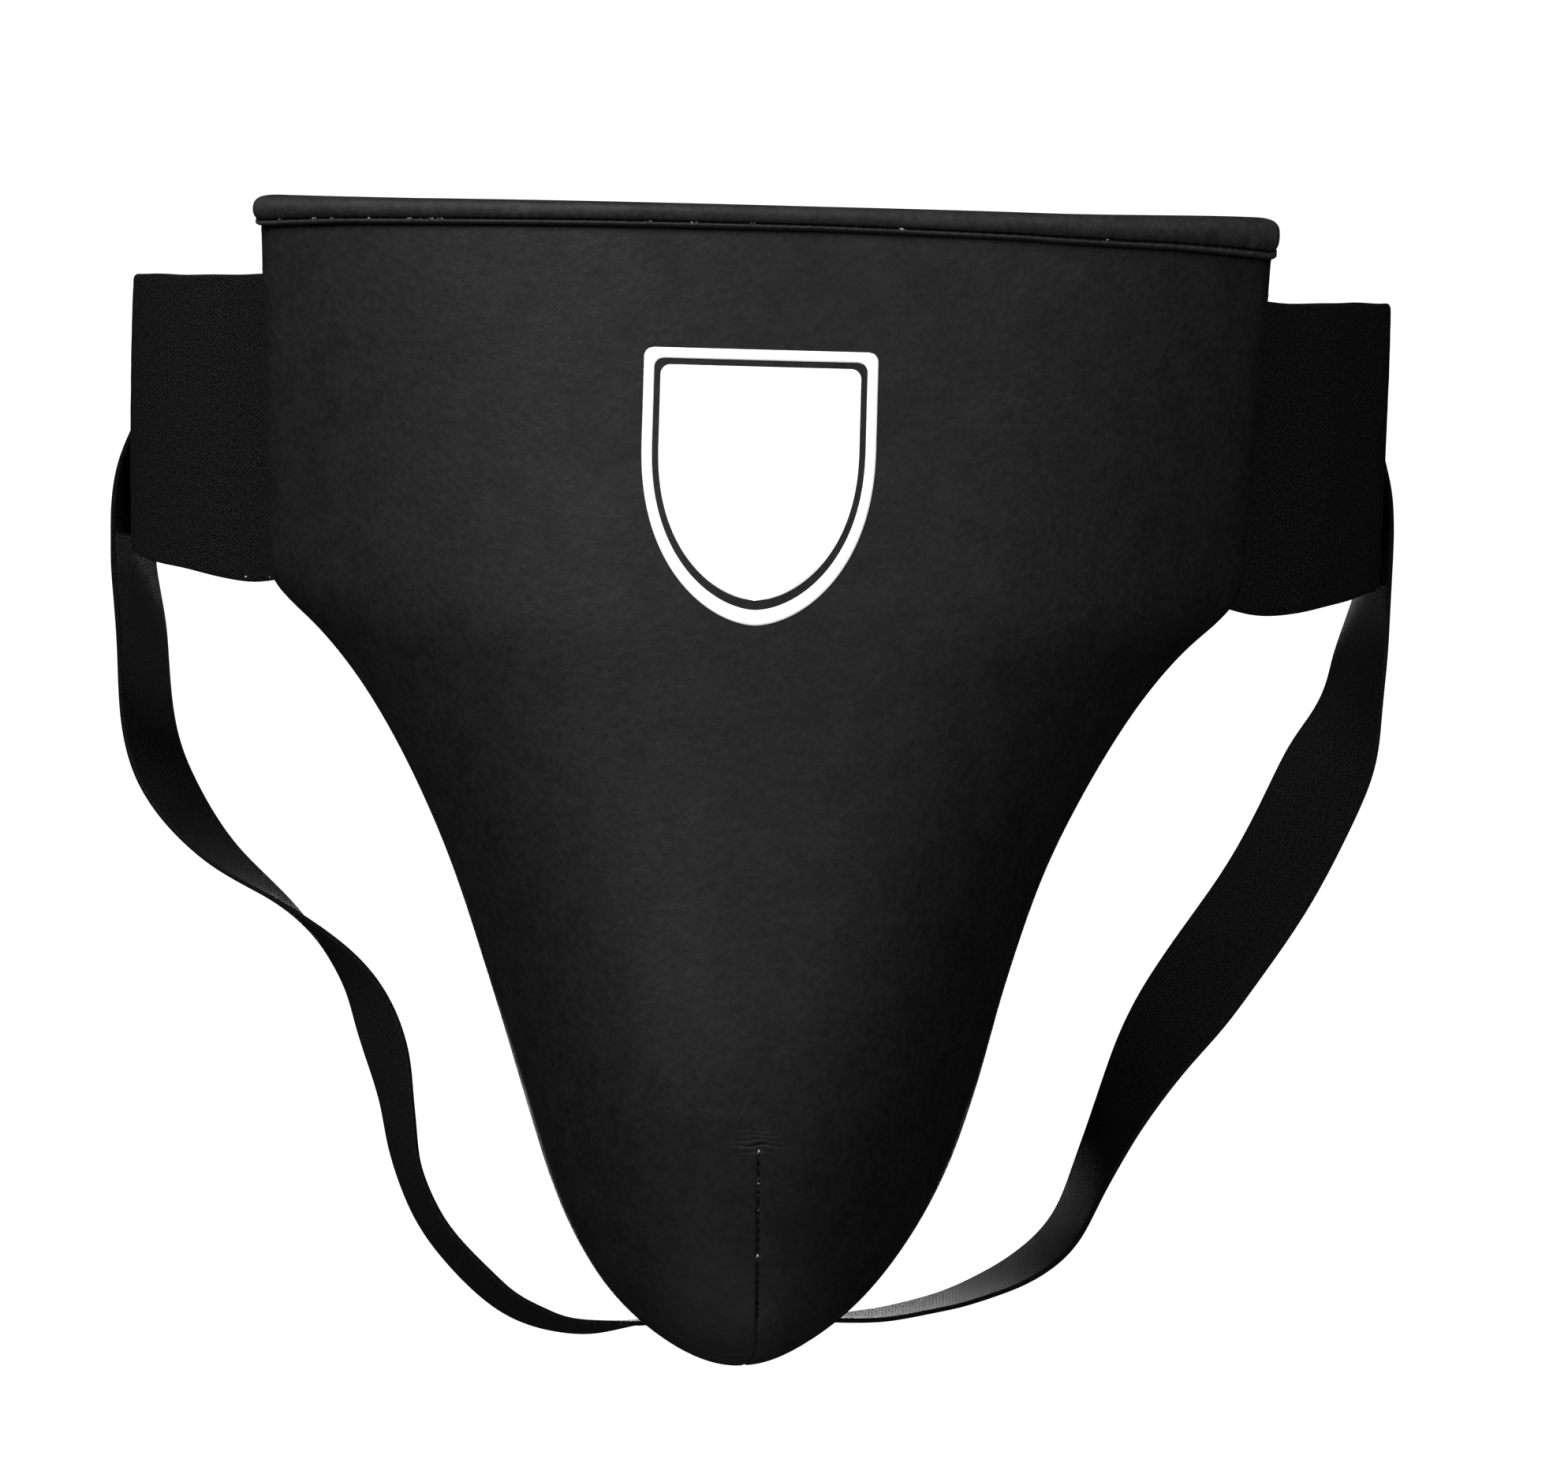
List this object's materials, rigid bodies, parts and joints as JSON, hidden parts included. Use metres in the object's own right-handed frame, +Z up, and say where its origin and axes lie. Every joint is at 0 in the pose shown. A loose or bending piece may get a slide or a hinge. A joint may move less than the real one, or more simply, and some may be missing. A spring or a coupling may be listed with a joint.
{
  "type": "groin protector",
  "caption": "Padded groin and lower-belly guard: a curved shell over a hard cup, worn on a wide elastic waistband with a hook-and-loop closure at the back and elastic leg straps.",
  "frame": {"origin": "centre of the waist loop, half way up the waistband", "axes": "+Z up as worn, -Y towards the wearer's front (the shell's face), +X to the right in a front view"},
  "size_m": [0.3793, 0.2488, 0.3166],
  "materials": {
    "cover_leather": "matte smooth synthetic leather",
    "binding_leather": "satin synthetic leather",
    "foam": "closed-cell foam",
    "cup_plastic": "moulded polypropylene",
    "rubber": "soft rubber",
    "lining_fabric": "brushed knit",
    "wide_elastic": "ribbed woven elastic",
    "strap_elastic": "woven elastic webbing",
    "loop_pile": "loop pile",
    "hook_tape": "hook tape",
    "white_print": "satin screen print",
    "label_fabric": "woven satin tape"
  },
  "bodies": {
    "root": {"outer_cover": "cover_leather", "foam_shell": "foam", "abdominal_pad": "foam", "cup_insert": "cup_plastic", "cup_rim_cushion": "rubber", "inner_lining": "lining_fabric", "top_roll_cover": "binding_leather", "top_roll_core": "foam", "edge_binding_left": "binding_leather", "edge_binding_right": "binding_leather", "emblem_print": "white_print", "care_label": "label_fabric", "side_band_left": "wide_elastic", "side_band_right": "wide_elastic", "band_anchor_patch_left": "binding_leather", "band_anchor_patch_right": "binding_leather", "strap_upper_end_left": "strap_elastic", "strap_upper_end_right": "strap_elastic", "crotch_tab": "binding_leather", "strap_lower_end_left": "strap_elastic", "strap_lower_end_right": "strap_elastic"},
    "left_flap": {"rear_band_left": "wide_elastic", "loop_patch": "loop_pile"},
    "right_flap": {"rear_band_right": "wide_elastic"},
    "closure": {"closure_tab": "wide_elastic", "hook_patch": "hook_tape", "tab_pull_tape": "binding_leather"},
    "left_leg_strap": {"leg_strap_left_webbing": "strap_elastic"},
    "right_leg_strap": {"leg_strap_right_webbing": "strap_elastic"}
  },
  "joints": [
    {"name": "right_flap_open", "type": "hinge", "parent": "root", "child": "right_flap", "pos_m": [0.17167, 0.05874, 0], "axis": [0, 0, -1], "range_deg": [0, 100]},
    {"name": "left_flap_open", "type": "hinge", "parent": "root", "child": "left_flap", "pos_m": [-0.17167, 0.05874, 0], "axis": [0, 0, 1], "range_deg": [0, 45]},
    {"name": "closure_peel", "type": "hinge", "parent": "right_flap", "child": "closure", "pos_m": [-0.005, 0.098, 0], "axis": [0, 0, -1], "range_deg": [0, 110]},
    {"name": "right_leg_strap_swing", "type": "hinge", "parent": "root", "child": "right_leg_strap", "pos_m": [0.181, 0.03043, -0.044], "axis": [0.5766, 0.3021, 0.7591], "range_deg": [-20, 20]},
    {"name": "left_leg_strap_swing", "type": "hinge", "parent": "root", "child": "left_leg_strap", "pos_m": [-0.186, 0.03305, -0.044], "axis": [-0.5824, 0.3052, 0.7534], "range_deg": [-20, 20]}
  ],
  "couplings": [
    {"joint": "left_flap_open", "follows": "right_flap_open", "ratio": 0.45}
  ]
}
